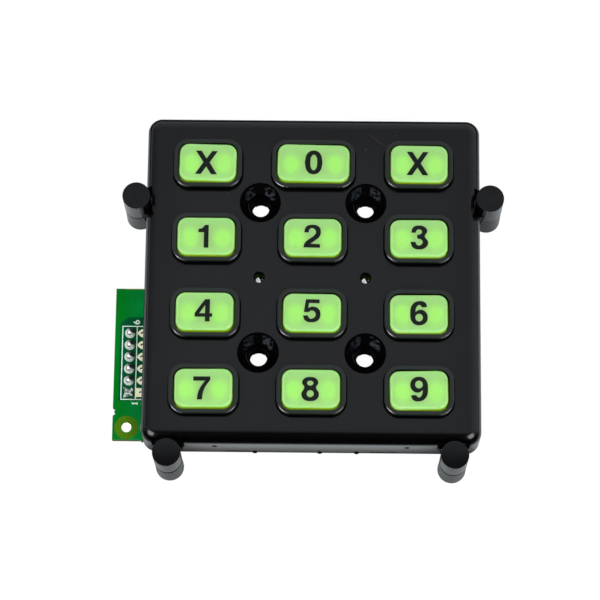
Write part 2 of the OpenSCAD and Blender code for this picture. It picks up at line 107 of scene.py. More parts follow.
# Place of each key (column and row from the middle, in pitches), the turn of its cap in degrees,
# the shift of its cap and the place of its legend on it, both in mm, and the legend
KEYS = {
    "cancel_left": ((-1, 1.5), -1.2, (0.02, -0.03), (-0.31, -0.2), "X"),
    "0": ((0, 1.5), -0.9, (0.02, 0.02), (0.02, -0.03), "0"),
    "cancel_right": ((1, 1.5), -0.4, (0.04, 0.0), (-0.37, -0.07), "X"),
    "1": ((-1, 0.5), 0.0, (-0.05, 0.03), (-0.53, -0.19), "1"),
    "2": ((0, 0.5), 0.2, (0.0, -0.02), (-0.13, 0.07), "2"),
    "3": ((1, 0.5), 0.4, (-0.06, -0.08), (0.07, 0.06), "3"),
    "4": ((-1, -0.5), 0.0, (-0.04, 0.05), (-0.2, 0.06), "4"),
    "5": ((0, -0.5), -0.5, (0.03, -0.04), (-0.07, 0.25), "5"),
    "6": ((1, -0.5), 0.4, (-0.08, -0.11), (0.01, 0.01), "6"),
    "7": ((-1, -1.5), 0.5, (0.04, 0.03), (-0.31, -0.17), "7"),
    "8": ((0, -1.5), 0.0, (-0.06, 0.04), (-0.13, -0.2), "8"),
    "9": ((1, -1.5), 1.2, (-0.06, -0.04), (0.02, 0.08), "9"),
}

# Outlines of the bold figures, in tenths of a millimetre about their middle. A point with a
# third value is a sharp corner, and the others are smooth.
C = True
NINE_TURNED = [
    [(16.9, 13.1, C), (13, 22.4), (1, 25.7), (-12.4, 19.3), (-17.9, -0.5), (-13.3, -19.9), (0, -25.7),
     (13.8, -20.1), (17.9, -8.7), (14.1, 2.1), (3.3, 7.4), (-7.5, 2.6, C), (-4.9, 12.9), (1, 17.5),
     (6.8, 12.4, C)],
    [(0.3, -1.2), (8.1, -9.5), (0.3, -17.6), (-7.6, -9.5)],
]
FIGURES = {
    "0": [
        [(0, 26), (12.3, 20.4), (17.8, 3.9), (17.8, -4.2), (12.3, -20.4), (0, -26), (-12.3, -20.4),
         (-17.8, -4.2), (-17.8, 3.9), (-12.3, 20.4)],
        [(0.3, 16.9), (5.8, 12), (7.3, 3.2), (7.3, -3.5), (5.8, -12), (0.3, -17.2), (-5.3, -12),
         (-6.8, -3.5), (-6.8, 3.2), (-5.3, 12)],
    ],
    "1": [
        [(10.5, 24.5, C), (10.5, -24.5, C), (0.9, -24.5, C), (0.9, 8.7, C), (-10.5, 8.7, C),
         (-10.5, 15.8, C), (-2.6, 17.7), (2.9, 24.5, C)],
    ],
    "2": [
        [(-18, -24.1, C), (16.4, -24.7, C), (16.7, -17.2, C), (-3.6, -16.1, C), (5.9, -9.2), (15.1, -0.9),
         (18, 8.9), (14.1, 20.4), (1.3, 24.7), (-12.1, 20.4), (-16.4, 8.4, C), (-6.9, 8.1, C),
         (-4.9, 15.3), (1.3, 17.5), (8.2, 9.5), (4.9, 2.3), (-6.9, -6.8), (-14.9, -14.5)],
    ],
    "3": [
        [(-16.5, 10.3, C), (-12.5, 21.6), (0, 25.7), (12.5, 21.6), (16.5, 12.6), (11.4, 3), (18.3, -10.3),
         (13.2, -21.3), (0, -25.7), (-13.6, -21.3), (-18.3, -9.5, C), (-8, -9.5, C), (-5.6, -15.2),
         (0, -17.3), (7.1, -10.3), (3.6, -4.3), (-4.2, -2.2, C), (-4.2, 5.7, C), (3.2, 7.6), (5.8, 12.6),
         (0, 17.6), (-5.6, 15), (-7.4, 10.3, C)],
    ],
    "4": [
        [(3, 23.6, C), (13, 23.6, C), (13, -6.3, C), (17.8, -6.3, C), (17.8, -13.7, C), (13, -13.7, C),
         (13, -23.6, C), (3.2, -23.6, C), (3.2, -13.7, C), (-17.8, -13.7, C), (-17.8, -5.7, C)],
        [(3.2, 11.3, C), (3.2, -6.3, C), (-8.6, -6.3, C)],
    ],
    "5": [
        [(-12.3, 24.4, C), (15.7, 24.1, C), (15.7, 16.1, C), (-5.9, 16.4, C), (-7.2, 6, C), (2.1, 8.9),
         (13.9, 4.1), (18, -7.6), (13.3, -19.9), (0, -24.4), (-13.3, -20.7), (-18, -10.3, C),
         (-8, -10, C), (-5.9, -14.8), (0, -16.9), (8.2, -8.1), (0.5, 0.7), (-6.7, -3.1, C),
         (-16.2, -2.8, C)],
    ],
    "6": NINE_TURNED,
    "7": [
        [(-17.3, 24, C), (17.3, 24, C), (17.3, 16.5, C), (8.1, 4), (2.7, -9.6), (0.9, -24, C),
         (-9.6, -24, C), (-7.6, -10.4), (-2.4, 2.1), (6.5, 15.2, C), (-17.3, 15.2, C)],
    ],
    "8": [
        [(-0.1, 25.2), (12.2, 21.7), (16.3, 13.2), (11.7, 3.6), (17.8, -9.7), (13.5, -20.9),
         (-0.1, -25.2), (-13.7, -20.9), (-17.8, -9.7), (-11.9, 3.6), (-16.6, 13.2), (-12.4, 21.7)],
        [(-0.1, 17.6), (6.4, 12.4), (-0.1, 7.1), (-6.6, 12.4)],
        [(-0.1, -2.4), (7.4, -9.7), (-0.1, -17.1), (-7.4, -9.7)],
    ],
    "9": [[(-p[0], -p[1]) + tuple(p[2:]) for p in outline] for outline in NINE_TURNED],
    "X": [
        [(-22.7, 25.4, C), (-10.9, 25.4, C), (0.1, 8.6, C), (11.3, 25.4, C), (22.7, 25.4, C),
         (6.6, 0.4, C), (22.7, -25.4, C), (10.5, -25.4, C), (-0.1, -8.8, C), (-11.1, -25.4, C),
         (-22.7, -25.4, C), (-6.3, 0.4, C)],
    ],
}


def key_place(name):
    """Middle of a cap, in mm."""
    (column, row), _, (dx, dy), _, _ = KEYS[name]
    return column * PITCH_X + dx, row * PITCH_Y + dy


# Camera, at the photograph's angle

def place_camera():
    turn = Euler((0.26486, 0.00906, 0.01148), "ZXY").to_matrix().to_euler()
    bpy.ops.object.camera_add(location=(0.002126, -0.143283, 0.510288), rotation=turn)
    camera = bpy.context.object
    camera.data.sensor_width = 36
    camera.data.lens = 153.85
    camera.data.clip_start = 0.02
    camera.data.clip_end = 20
    bpy.context.scene.camera = camera


# Node trees

class Level:
    """A socket of a tree's nodes, used like a number."""

    def __init__(self, nodes, socket):
        self.nodes = nodes
        self.socket = socket

    def math(self, operation, *values):
        inputs = dict(enumerate((self,) + values))
        return self.nodes.node("ShaderNodeMath", {"operation": operation}, inputs)

    def __add__(self, other):
        return self.math("ADD", other)

    def __radd__(self, other):
        return self.math("ADD", other)

    def __sub__(self, other):
        return self.math("SUBTRACT", other)

    def __rsub__(self, other):
        return self.nodes.node("ShaderNodeMath", {"operation": "SUBTRACT"}, {0: other, 1: self})

    def __mul__(self, other):
        return self.math("MULTIPLY", other)

    def __rmul__(self, other):
        return self.math("MULTIPLY", other)

    def __pow__(self, other):
        return self.math("POWER", other)

    def __abs__(self):
        return self.math("ABSOLUTE")

    def over(self, *others):
        """The largest of these."""
        level = self
        for other in others:
            level = level.math("MAXIMUM", other)
        return level

    def under(self, other):
        return self.math("MINIMUM", other)

    def rise(self, low, high):
        """0 below low, 1 above high and smooth between them; falls where low is the larger."""
        first, last = (0.0, 1.0) if low < high else (1.0, 0.0)
        inputs = {0: self, 1: min(low, high), 2: max(low, high), 3: first, 4: last}
        return self.nodes.node("ShaderNodeMapRange", {"interpolation_type": "SMOOTHSTEP"}, inputs)

    def wrap(self, reach):
        """Repeats from minus to plus this reach."""
        return self.math("WRAP", reach, -reach)


class Nodes:
    """Builds one node tree."""

    def __init__(self, tree):
        self.tree = tree
        tree.nodes.clear()

    def node(self, kind, settings=None, inputs=None, output=0):
        made = self.tree.nodes.new(kind)
        for key, value in (settings or {}).items():
            setattr(made, key, value)
        for key, value in (inputs or {}).items():
            if isinstance(value, Level):
                self.tree.links.new(value.socket, made.inputs[key])
            else:
                made.inputs[key].default_value = value
        return Level(self, made.outputs[output])

    def split(self, vector):
        """The three parts of a vector."""
        outputs = self.node("ShaderNodeSeparateXYZ", None, {0: vector}).socket.node.outputs
        return tuple(Level(self, outputs[i]) for i in range(3))

    def length(self, a, b):
        return (a ** 2.0 + b ** 2.0) ** 0.5


class Finish(Nodes):
    """One node material under construction."""

    def __init__(self, name, roughness, **constants):
        self.material = bpy.data.materials.new(name)
        self.material.use_nodes = True
        super().__init__(self.material.node_tree)
        self.output = self.tree.nodes.new("ShaderNodeOutputMaterial")
        self.shader = self.tree.nodes.new("ShaderNodeBsdfPrincipled")
        self.tree.links.new(self.shader.outputs[0], self.output.inputs[0])
        self.shader.inputs["Roughness"].default_value = roughness
        for key, value in constants.items():
            self.shader.inputs[key.replace("_", " ").title().replace("Ior", "IOR")].default_value = value
        self.place = None

    def coords(self):
        """Position on the keypad, in mm, as a vector."""
        if self.place is None:
            where = self.node("ShaderNodeTexCoord", output="Object")
            inputs = {0: where, "Scale": 1000.0}
            self.place = self.node("ShaderNodeVectorMath", {"operation": "SCALE"}, inputs)
        return self.place

    def xyz(self):
        return self.split(self.coords())

    def moved(self, scale=(1, 1, 1), location=(0, 0, 0)):
        inputs = {0: self.coords(), "Location": location, "Scale": scale}
        return self.node("ShaderNodeMapping", None, inputs)

    def noise(self, per_mm, detail, where=None):
        inputs = {"Vector": where or self.coords(), "Scale": per_mm, "Detail": detail, "Roughness": 0.55}
        return self.node("ShaderNodeTexNoise", None, inputs, "Fac")

    def cells(self, per_mm):
        inputs = {"Vector": self.coords(), "Scale": per_mm}
        return self.node("ShaderNodeTexVoronoi", None, inputs, "Distance")

    def mix(self, amount, first, second):
        inputs = {0: amount, 6: self.colour(first), 7: self.colour(second)}
        return self.node("ShaderNodeMix", {"data_type": "RGBA"}, inputs, 2)

    def shades(self, cloud, first, second):
        """Two shades in the clouds of a noise."""
        return self.mix(cloud.rise(0.3, 0.7), first, second)

    def colour(self, value):
        return value if isinstance(value, Level) else (*value, 1.0)

    def set(self, name, level):
        self.tree.links.new(level.socket, self.shader.inputs[name])

    def bump(self, height, depth_mm, strength):
        inputs = {"Height": height, "Distance": depth_mm * MM, "Strength": strength}
        self.set("Normal", self.node("ShaderNodeBump", None, inputs, "Normal"))

    def dull(self, amount):
        """Mixes in a surface that hardly shines."""
        inputs = {"Base Color": (0.0004, 0.0004, 0.0006, 1), "Roughness": 0.7, "Specular IOR Level": 0.03}
        flat = self.node("ShaderNodeBsdfPrincipled", None, inputs)
        gloss = Level(self, self.shader.outputs[0])
        both = self.node("ShaderNodeMixShader", None, {0: amount, 1: gloss, 2: flat})
        self.tree.links.new(both.socket, self.output.inputs[0])

    def dust(self, per_mm, share):
        """Sparse small specks, about one in every few cells."""
        picked = self.noise(per_mm * 0.8, 1.0, where=self.moved(location=(31, 17, 5))).rise(0.62, 0.7)
        return self.cells(per_mm).rise(share * 1.6, share * 0.5) * picked


# Places that repeat over the keypad

def key_field(x, y):
    """Place from the middle of the nearest key."""
    return x.wrap(PITCH_X / 2), (y + PITCH_Y / 2).wrap(PITCH_Y / 2)


def hole_field(x, y):
    """Place from the middle of the nearest fixing recess or light hole."""
    return (x - PITCH_X / 2).wrap(PITCH_X / 2), y.wrap(PITCH_Y / 2)


def terminal_field(x, y):
    """Place from the middle of the nearest terminal."""
    return x - TERMINAL_X, (y - TERMINAL_TOP).wrap(TERMINAL_PITCH / 2)


def from_light_hole(f, x, y):
    return f.length(abs(x) - PITCH_X / 2, y)


# Finishes

def post_shading(x, y):
    """How much painted shade dulls the seam, the cap and the foot of the post at this place, and
    how much a painted reflection lightens its inner side."""
    low = y.rise(-25, -30)
    right = x.rise(-5, 5)
    seam = low * (0.97 - right * 0.1) + (1 - low) * (0.55 - right * 0.35)
    cap = low * 0.33 + (1 - low) * right * 0.2
    foot = low * 0.5 + (1 - low) * right * 0.38
    from_post = x + SIDE_POST_X
    # A painted reflection on the inner side of the upper left post
    pale = (1 - low) * (1 - right) * from_post.rise(-2.45, -0.05) * from_post.rise(1.35, 0.85)
    return seam, cap, foot, pale


def face_scratch(f, x, y, z):
    """A scratch that runs down the face to the right, near the top right key."""
    right = x - SCRATCH[0]
    up = y - SCRATCH[1]
    along = right * 0.8 - up * 0.6
    across = abs(right * 0.6 + up * 0.8 + f.noise(0.5, 2.0) * 0.4 - 0.2)
    return across.rise(0.1, 0.03) * abs(along).rise(2.8, 2.2) * z.rise(-0.6, -0.1)


def collar_corner_glints(u, v, z):
    """Painted glints on the lower corners of the collars' edges."""
    edge = z.rise(COLLAR_TOP - 0.14, COLLAR_TOP - 0.1) * z.rise(COLLAR_TOP, COLLAR_TOP - 0.01)
    return abs(u).rise(4.9, 5.9) * v.rise(-3.2, -4.0) * edge


def recess_light(f, x, y, z, to_fixing, recess):
    """Where light lies in the fixing recesses, and its colour: two soft windows on the upper side,
    a thin arc to the left, and the foot of the bore, which the sheet below brightens."""
    u, v = hole_field(x, y)
    window = abs(u).rise(0.7, 1.1) * abs(u).rise(3.3, 2.8) * v.rise(0.7, 1.4) * recess
    window = window * to_fixing.rise(2.4, 2.6) * to_fixing.rise(RECESS_R - 0.1, RECESS_R - 0.4)
    window = window * f.noise(1.0, 2.0, where=f.moved((1.1, 1.7, 1))).rise(0.35, 0.6)
    arc = to_fixing.rise(2.4, 2.47) * to_fixing.rise(2.62, 2.55) * u.rise(-1.3, -1.7) * v.rise(0.7, 0.3)
    foot = to_fixing.rise(BORE_R + 0.15, BORE_R + 0.05) * z.rise(-7.2, -7.5) * abs(u).rise(0.9, 1.3)
    colour = f.mix(u.rise(-0.6, 0.6), (0.012, 0.016, 0.021), (0.03, 0.035, 0.042))
    colour = f.mix(window.over(arc * recess), BLACK, colour)
    return window.over(arc, foot), f.mix(foot, colour, (0.95, 0.95, 0.95))


def wall_marks_and_shade(f, x, y, z):
    """Dull dimples on the front's lower wall, and painted shade: the slits' shadows, the pockets
    beside the low posts and the rolled edge above the wall.
    """
    side = abs(x)
    dimple = f.length(side - DIMPLE[0], (z - DIMPLE[1]) * 0.7).rise(0.62, 0.45)
    dimple = dimple * y.rise(WALL_Y + 0.3, WALL_Y + 0.2)
    # Painted shadows of the slits along the wall's lower edge
    slit_shadow = abs(side - SLIT_X).rise(2.9, 2.6) * z.rise(-8.3, -8.5) * y.rise(WALL_Y + 0.2, WALL_Y + 0.1)
    # Painted shade in the pockets beside the low posts
    pocket = abs(side - LOW_POST_X).rise(3.5, 3.2) * y.rise(WALL_Y + 1.1, WALL_Y + 0.8)
    pocket = pocket * z.rise(-0.5, -0.9) * z.rise(-5.0, -4.6)
    # Painted shade on the rolled edge between the front's two lower corners
    rolled = side.rise(32.0, 31.4) * y.rise(WALL_Y + 2.9, WALL_Y + 2.3) * z.rise(-1.9, -1.5)
    rolled = rolled * z.rise(0.0, -0.05) * 0.8
    return dimple.over(slit_shadow, pocket, rolled)


def moulded_black():
    """Satin black of the front: fine grain, a few specks, one faint scratch and dull dimples, and painted
    light: glints on the collars' lower corners, a green glow on their tops, reflections in the fixing
    recesses and on one post, and shade that makes recesses, walls, seams and slits a dull black."""
    f = Finish("moulded_black", 0.15, ior=1.6, emission_strength=1.0)
    x, y, z = f.xyz()
    u, v = key_field(x, y)
    to_fixing = f.length(abs(x) - PITCH_X / 2, abs(y) - PITCH_Y)
    below_face = z.rise(-0.02, -0.12)
    recess = to_fixing.rise(RECESS_R + 0.2, RECESS_R + 0.05) * below_face
    # The posts stand outside the front's walls
    outside = abs(x).over(y * -1.0).rise(PLATE_X + 0.25, PLATE_X + 0.45)
    below_seam = outside * z.rise(POST_SEAM - 0.2, POST_SEAM - 0.3)
    seam_shade, _, foot_shade, pale = post_shading(x, y)
    scratch = face_scratch(f, x, y, z)
    dust = f.dust(0.6, 0.045)
    corner_glint = collar_corner_glints(u, v, z)

    mottle = f.noise(0.12, 4.0)
    base = f.shades(mottle, (0.0006, 0.0007, 0.0011), (0.0016, 0.0017, 0.0024))
    # The face is paler in its middle than near its edges, and the collars' tops carry a painted green glow
    # from the keys
    middle = abs(x).rise(34, 24) * y.rise(33, 22) * y.rise(-33.5, -31.0) * z.rise(-0.3, -0.05)
    base = f.mix(middle * (0.6 + mottle * 0.8), base, (0.0048, 0.005, 0.0055))
    collar_top = z.rise(COLLAR_TOP - 0.35, COLLAR_TOP - 0.02)
    base = f.mix(collar_top * (0.75 + mottle * 0.5), base, (0.014, 0.021, 0.016))
    # Painted glints: the collars' lower corner edges are paler and metallic, the left ones most
    base = f.mix(corner_glint, base, f.mix(u.rise(-1, 1), (0.26, 0.265, 0.27), (0.13, 0.132, 0.135)))
    # A painted reflection lightens the inner side of the upper left post
    base = f.mix(pale * below_seam, base, (0.045, 0.048, 0.05))
    base = f.mix(scratch * 0.5, base, (0.035, 0.035, 0.037))
    f.set("Base Color", f.mix(dust * 0.7, base, (0.16, 0.16, 0.155)))
    # The painted corner glints are metallic
    f.set("Metallic", corner_glint)

    lit, light = recess_light(f, x, y, z, to_fixing, recess)
    f.set("Emission Color", light)
    # Painted shade: outside their painted reflections the fixing recesses turn a dull near-black, and so do
    # the light holes, the collars' walls, the posts' seams and lower halves and the walls' lower edge
    light_hole = from_light_hole(f, x, y).rise(LIGHT_HOLE_R + 0.25, LIGHT_HOLE_R + 0.15) * below_face
    collar_wall = z.rise(0.02, 0.12) * z.rise(COLLAR_TOP - 0.3, COLLAR_TOP - 0.5)
    neck = z.rise(POST_SEAM - 1.05, POST_SEAM - 0.9) * z.rise(POST_SEAM + 0.05, POST_SEAM)
    neck = neck * outside * seam_shade
    foot = below_seam * foot_shade.over(0.15)
    under_edge = z.rise(-8.4, -8.9) * (1 - outside) * 0.4
    cone = recess * (1 - lit) * 0.97
    f.dull(cone.over(light_hole, collar_wall, neck, foot, under_edge, wall_marks_and_shade(f, x, y, z)))

    # The front's two lower corners shine less sharply
    corner = abs(x).rise(30.5, 32.0) * y.rise(-30.5, -32.0) * z.rise(-0.01, -0.1)
    rough = 0.1 + f.noise(0.35, 3.0) * 0.07 + dust * 0.4 + scratch * 0.15 + corner * 0.07
    f.set("Roughness", rough)
    f.bump(f.noise(4.0, 2.0) + f.noise(1.1, 2.0) * 0.8, 0.0035, 0.5)
    return f.material


def post_black():
    """Satin black of the post caps, with painted shade that dulls their tops, sides and seams, and a
    painted reflection on one post's inner side.
    """
    f = Finish("post_black", 0.18, ior=1.6)
    x, y, z = f.xyz()
    seam_shade, cap_shade, _, pale = post_shading(x, y)
    top = z.rise(POST_TOP - 0.08, POST_TOP - 0.03)
    dust = f.dust(1.2, 0.06)
    base = f.shades(f.noise(0.5, 4.0), (0.003, 0.0033, 0.0042), (0.006, 0.0064, 0.0075))
    # A painted reflection lightens the inner side of the upper left post
    base = f.mix(pale * (1 - top), base, (0.06, 0.064, 0.068))
    f.set("Base Color", f.mix(dust * 0.6, base, (0.2, 0.2, 0.19)))
    f.set("Roughness", 0.13 + f.noise(0.7, 3.0) * 0.08 + dust * 0.3)
    f.bump(f.noise(4.0, 2.0), 0.003, 0.5)
    # Painted shade dulls the caps' tops, the low posts' most, and their sides and seams by each post's
    # place
    shaded = 0.15 + f.noise(0.6, 3.0) * 0.2 + y.rise(LOW_POST_Y + 2.4, LOW_POST_Y - 2.4) * 0.55
    seam = z.rise(POST_SEAM + 0.5, POST_SEAM + 0.32) * seam_shade
    f.dull((top * shaded).over(cap_shade * (1 - top), seam))
    return f.material


def cover_black():
    """Plain moulded black of the rear cover, a little scuffed."""
    f = Finish("cover_black", 0.4)
    base = f.shades(f.noise(0.15, 4.0), (0.008, 0.0083, 0.009), (0.013, 0.0133, 0.014))
    scuff = f.noise(0.5, 4.0, where=f.moved((1, 0.12, 1))).rise(0.62, 0.74)
    base = f.mix(scuff * 0.25, base, (0.04, 0.04, 0.04))
    f.set("Base Color", f.mix(f.dust(0.8, 0.06) * 0.6, base, (0.2, 0.2, 0.19)))
    f.set("Roughness", 0.36 + f.noise(0.5, 3.0) * 0.14 + scuff * 0.1)
    f.bump(f.noise(3.5, 3.0), 0.008, 0.5)
    return f.material


def key_green():
    """Translucent cap with painted light: a painted glow over its lamps to the left and right, a painted
    highlight on its rounded rim, and painted olive shade and glow at the foot of its sides."""
    f = Finish("key_green", 0.3, subsurface_weight=1.0, subsurface_scale=0.0007, emission_strength=1.0)
    f.shader.inputs["Subsurface Radius"].default_value = (0.5, 1.0, 0.35)
    x, y, z = f.xyz()
    u, v = key_field(x, y)
    wide = abs(x).rise(PITCH_X / 2 + 0.1, PITCH_X / 2 - 0.1) * y.rise(PITCH_Y, PITCH_Y + 0.1)
    # Distance inwards from the cap's edge
    beyond_x = (abs(u) - (CAP_W / 2 - CAP_R) - wide * (WIDE_EXTRA / 2)).over(0.0)
    beyond_y = (abs(v) - (CAP_H / 2 - CAP_R)).over(0.0)
    inside = CAP_R - f.length(beyond_x, beyond_y)
    lamp_u = wide * 1.2 + 3.4
    from_lamp = f.length((abs(u) - lamp_u) * 0.75, (v + 0.4) * 0.6)
    cloud = f.noise(0.35, 3.0)
    # A painted glow over the lamps under the cap
    glow = from_lamp.rise(2.2, 0.3) * (cloud * 0.8 + 0.5)
    base = f.mix(glow, (0.41, 0.67, 0.25), (0.45, 0.88, 0.215))
    base = f.mix(abs(v).rise(1.8, 3.4) * 0.6, base, (0.44, 0.79, 0.3))
    grey = inside.rise(0.4, 0.8) * (v + cloud * 2.0 - 1.0).rise(0.8, 3.0)
    base = f.mix(grey * 0.4, base, (0.38, 0.68, 0.27))
    # Less light comes out between the strokes of a figure
    core = f.length(u, v * 0.7).rise(1.7, 0.2)
    base = f.mix(core * 0.4, base, (0.37, 0.63, 0.25))
    # A painted highlight along the rounded rim
    rim = inside.rise(0.55, 0.3) * z.rise(CAP_TOP - 0.7, CAP_TOP - 0.3)
    base = f.mix(rim * 0.8, base, (0.51, 0.94, 0.34))
    # Painted olive shade at the foot of the sides
    low = z.rise(CAP_TOP - 0.25, CAP_TOP - 0.6)
    base = f.mix(low, base, (0.34, 0.6, 0.012))
    speck = f.dust(0.8, 0.05)
    f.set("Base Color", f.mix(speck * 0.6, base, (0.12, 0.2, 0.08)))
    # The cap glows with painted light, most over its lamps, and the foot of its sides glows olive, most on
    # the lower side
    lit = f.mix(core * 0.35, f.mix(glow, (0.034, 0.11, 0.012), (0.05, 0.2, 0.012)), (0.01, 0.035, 0.006))
    side = f.mix(v.rise(-2.6, -3.6), (0.012, 0.018, 0.0), (0.1, 0.17, 0.0))
    f.set("Emission Color", f.mix(low, lit, side))
    f.set("Roughness", 0.24 + f.noise(0.6, 3.0) * 0.12)
    f.bump(f.noise(0.5, 3.0) + f.noise(4.0, 2.0) * 0.15, 0.015, 0.5)
    return f.material


def legend_ink():
    f = Finish("legend_ink", 0.45, specular_ior_level=0.25)
    wear = f.noise(2.2, 4.0)
    f.set("Base Color", f.mix(wear.rise(0.35, 0.75), (0.004, 0.008, 0.0055), (0.008, 0.013, 0.0095)))
    f.set("Roughness", 0.35 + wear * 0.15)
    f.bump(f.noise(6.0, 2.0), 0.004, 0.4)
    return f.material


def board_green():
    """Solder mask: bright over copper, darker over the bare laminate round the terminals."""
    f = Finish("board_green", 0.35, specular_ior_level=0.05, emission_strength=1.0)
    x, y, z = f.xyz()
    # Bare zone with a cut corner round the terminal rows
    side = x - TAB_X
    top = BARE_TOP - y
    zone = side.rise(0.8, 1.3) * top.rise(-0.5, 0.1) * (side + top).rise(1.9, 2.7)
    zone = zone * y.rise(BARE_LOW, BARE_LOW + 0.5)
    across = f.noise(1.0, 2.0, where=f.moved((2.4, 0.3, 1)))
    weave = (across + f.noise(1.0, 2.0, where=f.moved((0.3, 2.4, 1)))) * 0.5
    cloud = f.noise(0.18, 3.0)
    copper = f.mix(side.rise(1.0, 5.5), (0.0, 0.24, 0.018), (0.0, 0.37, 0.07))
    copper = f.mix(cloud.rise(0.35, 0.65), f.mix(0.3, copper, (0, 0.11, 0.0)), copper)
    base = f.mix(zone, copper, f.shades(weave, (0.0, 0.085, 0.028), (0.0, 0.12, 0.04)))
    from_hole = f.length(x - TAB_HOLE[0], y - TAB_HOLE[1])
    ring = f.shades(weave, (0.08, 0.22, 0.005), (0.1, 0.26, 0.008))
    base = f.mix(from_hole.rise(TAB_RING_R, TAB_RING_R - 0.08), base, ring)
    # The mask stops just short of the tab's top edge
    drawn_back = y.rise(TAB_TOP - 0.25, TAB_TOP - 0.16) * f.noise(0.35, 2.0).rise(0.35, 0.5)
    base = f.mix(drawn_back * 0.8, base, (0.32, 0.33, 0.06))
    # Cut edges show the laminate
    edge = z.rise(BOARD_TOP - 0.02, BOARD_TOP - 0.06) * z.rise(BOARD_LOW + 0.02, BOARD_LOW + 0.06)
    layers = f.noise(1.0, 2.0, where=f.moved((0.4, 0.4, 9)))
    base = f.mix(edge, base, f.mix(layers.rise(0.35, 0.65), (0.12, 0.17, 0.04), (0.22, 0.26, 0.09)))
    # Pale wall of the tab's hole, which glows with painted light, and tinned walls of the spare row's holes
    hole_wall = edge * from_hole.rise(TAB_HOLE_R + 0.1, TAB_HOLE_R + 0.03)
    base = f.mix(hole_wall, base, (0.95, 0.95, 0.93))
    u, v = terminal_field(x, y)
    from_spare = f.length(u - TERMINAL_PITCH, v)
    spare_wall = edge * from_spare.rise(SPARE_HOLE_R + 0.1, SPARE_HOLE_R + 0.03)
    base = f.mix(spare_wall, base, (0.3, 0.3, 0.26))
    # Painted shade: a black patch on the board under each light hole
    on_top = z.rise(BOARD_TOP - 0.1, BOARD_TOP - 0.05)
    patch = from_light_hole(f, x, y).rise(PATCH_R, PATCH_R - 0.2) * on_top
    base = f.mix(patch, base, (0.001, 0.001, 0.001))
    f.set("Base Color", f.mix(f.dust(1.1, 0.05) * 0.4, base, (0.5, 0.5, 0.45)))
    # The wall of the tab's hole glows with painted light
    f.set("Emission Color", f.mix(hole_wall, BLACK, (0.75, 0.75, 0.74)))
    f.set("Roughness", 0.3 + cloud * 0.1 + edge * 0.35)
    f.bump(zone * -1.0 + f.noise(0.8, 2.0) * 0.25, 0.03, 0.5)
    return f.material


def silk_white():
    # The print has a faint painted green glow
    f = Finish("silk_white", 0.55, emission_color=(0.02, 0.1, 0.05, 1.0), emission_strength=1.0)
    f.set("Base Color", f.mix(f.noise(3.0, 3.0).rise(0.35, 0.7), (0.86, 0.98, 0.89), (0.95, 1.0, 0.96)))
    f.set("Roughness", 0.5 + f.noise(4.0, 2.0) * 0.15)
    f.bump(f.noise(6.0, 2.0), 0.006, 0.5)
    return f.material


def metal(name, low, high, roughness):
    f = Finish(name, roughness, metallic=1.0)
    cloud = f.noise(3.0, 3.0)
    f.set("Base Color", f.shades(cloud, low, high))
    f.set("Roughness", roughness + cloud * 0.12)
    f.bump(f.noise(5.1, 2.0), 0.01, 0.4)
    return f.material


def plain(name, low, high, roughness, per_mm, **constants):
    f = Finish(name, roughness, **constants)
    f.set("Base Color", f.shades(f.noise(per_mm, 4.0), low, high))
    f.set("Roughness", roughness + f.noise(per_mm * 1.5, 2.0) * 0.1)
    f.bump(f.noise(per_mm * 5, 2.0), 0.008, 0.5)
    return f.material


def lamp_resin():
    """Clear lens of a status light, with a painted glint of its cup."""
    f = Finish("lamp_resin", 0.1, coat_weight=1.0, emission_strength=1.0)
    x, y, z = f.xyz()
    u, v = hole_field(x, y)
    facets = f.cells(2.6)
    # A painted glint shows the cup as a three-sided patch with a dot beside it, and painted shade keeps the
    # rest of the lens dark
    left = (u + 0.73).under((u + 0.73) * 0.6 - (v - 0.3) * 0.8)
    right = (u + 0.17) * -0.89 - (v - 0.65) * 0.45
    foot = (u + 0.73) * 0.13 + (v + 0.5)
    cup = left.rise(-0.03, 0.06) * right.rise(-0.03, 0.06) * foot.rise(-0.03, 0.06)
    dot = f.length(u - 0.6, v - 0.2).rise(0.15, 0.08) * 0.3
    lens = z.rise(STATUS_LENS_LOW, STATUS_LENS_LOW + 0.3)
    cup = cup.over(dot) * lens
    base = f.shades(f.noise(1.0, 3.0), (0.03, 0.032, 0.032), (0.05, 0.052, 0.052))
    base = f.mix(lens, base, (0.01, 0.01, 0.01))
    f.set("Base Color", f.mix(cup, base, (0.9, 0.92, 0.92)))
    f.set("Emission Color", f.mix(cup * facets.rise(0.1, 0.5), BLACK, (0.55, 0.62, 0.62)))
    f.set("Roughness", 0.1 + f.noise(1.5, 2.0) * 0.1)
    f.bump(facets, 0.05, 0.5)
    return f.material


def chip_part(name, body_low, body_high, centres_x):
    """Body of a small chip part with tinned ends. Its kind sits in two rows, at these places."""
    f = Finish(name, 0.4)
    x, _, _ = f.xyz()
    end = abs(x - centres_x[0]).under(abs(x - centres_x[1])).rise(0.59, 0.65)
    base = f.shades(f.noise(2.0, 3.0), body_low, body_high)
    f.set("Base Color", f.mix(end, base, (0.68, 0.68, 0.67)))
    f.set("Metallic", end)
    f.set("Roughness", 0.45 - end * 0.15 + f.noise(3.0, 2.0) * 0.1)
    f.bump(f.noise(5.0, 2.0), 0.006, 0.5)
    return f.material


def chip_package():
    """Black package with tinned leads, which stand outside the body."""
    f = Finish("chip_package", 0.55)
    _, y, _ = f.xyz()
    lead = abs(y).rise(1.96, 1.99)
    base = f.shades(f.noise(2.0, 3.0), (0.012, 0.012, 0.013), (0.018, 0.018, 0.019))
    f.set("Base Color", f.mix(lead, base, (0.68, 0.68, 0.67)))
    f.set("Metallic", lead)
    f.set("Roughness", 0.55 - lead * 0.25 + f.noise(4.0, 2.0) * 0.1)
    f.bump(f.noise(7.0, 2.0), 0.01, 0.5)
    return f.material


